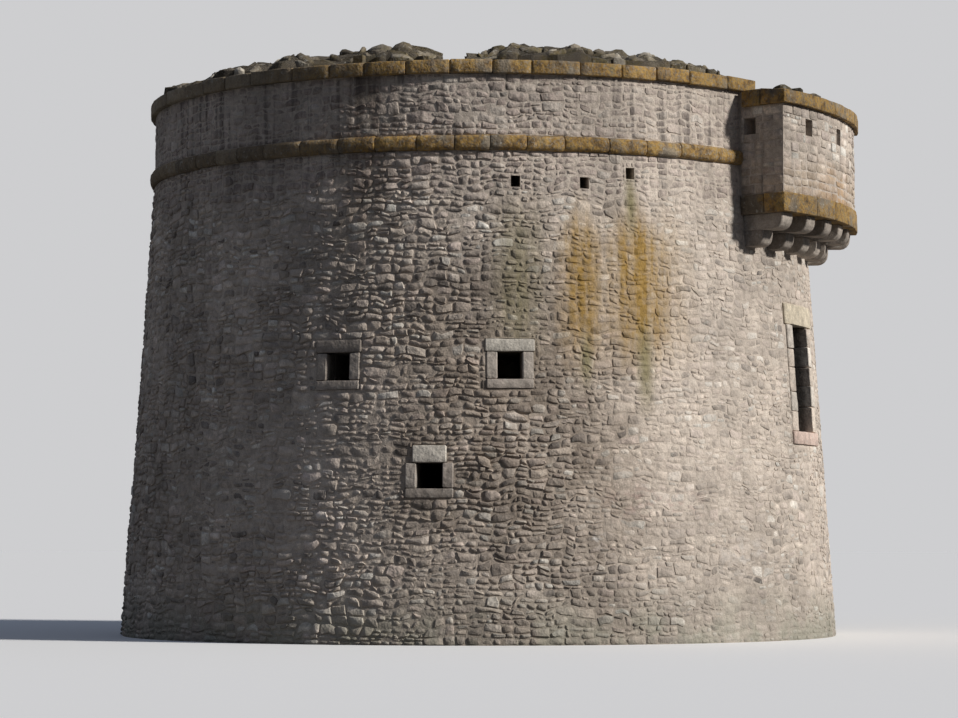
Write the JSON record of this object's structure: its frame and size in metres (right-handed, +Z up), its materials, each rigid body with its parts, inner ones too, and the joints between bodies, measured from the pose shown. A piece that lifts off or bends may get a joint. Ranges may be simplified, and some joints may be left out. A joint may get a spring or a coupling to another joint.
{
  "type": "martello tower",
  "caption": "Round battered masonry gun tower with a raised doorway, small loops, a string course, a thick parapet round a vaulted gun platform and a corbelled gallery over the door.",
  "frame": {"origin": "on the ground at the tower's axis", "axes": "+Z up along the tower's axis; -Y points out through the raised doorway; +X is to the right for someone who stands outside and faces the doorway"},
  "size_m": [12.2, 12.65, 9.51],
  "materials": {
    "rubble_masonry": "rough, mottled, weathered",
    "parapet_masonry": "rough, streaked below the coping",
    "gallery_masonry": "rough, coursed",
    "vault_masonry": "rough",
    "dressed_stone": "tooled, weathered",
    "banded_stone": "tooled, grown with ochre lichen",
    "rough_capping": "rough, broken mortar and rubble",
    "paving_stone": "worn",
    "floor_timber": "bare, grey"
  },
  "bodies": {
    "root": {"coping": "banded_stone", "door_jambs": "dressed_stone", "door_lintel": "dressed_stone", "door_sill": "dressed_stone", "firing_step": "paving_stone", "floor_boards": "floor_timber", "floor_joists": "floor_timber", "gallery_band": "banded_stone", "gallery_cheek_left": "gallery_masonry", "gallery_cheek_right": "gallery_masonry", "gallery_coping": "banded_stone", "gallery_front": "gallery_masonry", "ground_floor": "paving_stone", "loop_jambs": "dressed_stone", "loop_lintels": "dressed_stone", "loop_sills": "dressed_stone", "lower_corbels": "dressed_stone", "lower_wall_back_left": "rubble_masonry", "lower_wall_back_right": "rubble_masonry", "lower_wall_front_left": "rubble_masonry", "lower_wall_front_right": "rubble_masonry", "lower_wall_left": "rubble_masonry", "lower_wall_right": "rubble_masonry", "parapet_capping": "rough_capping", "parapet_left_back": "parapet_masonry", "parapet_left_front": "parapet_masonry", "parapet_left_middle": "parapet_masonry", "parapet_right_back": "parapet_masonry", "parapet_right_front": "parapet_masonry", "parapet_right_middle": "parapet_masonry", "pivot_stone": "dressed_stone", "platform_paving": "paving_stone", "recess_paving": "paving_stone", "string_course": "banded_stone", "upper_corbels": "dressed_stone", "upper_wall_left_back": "rubble_masonry", "upper_wall_left_front": "rubble_masonry", "upper_wall_left_middle": "rubble_masonry", "upper_wall_right_back": "rubble_masonry", "upper_wall_right_front": "rubble_masonry", "upper_wall_right_middle": "rubble_masonry", "vault": "vault_masonry", "wall_beside_doorway_left": "rubble_masonry", "wall_beside_doorway_right": "rubble_masonry", "wall_over_doorway": "rubble_masonry", "wall_under_doorway": "rubble_masonry"}
  },
  "joints": []
}
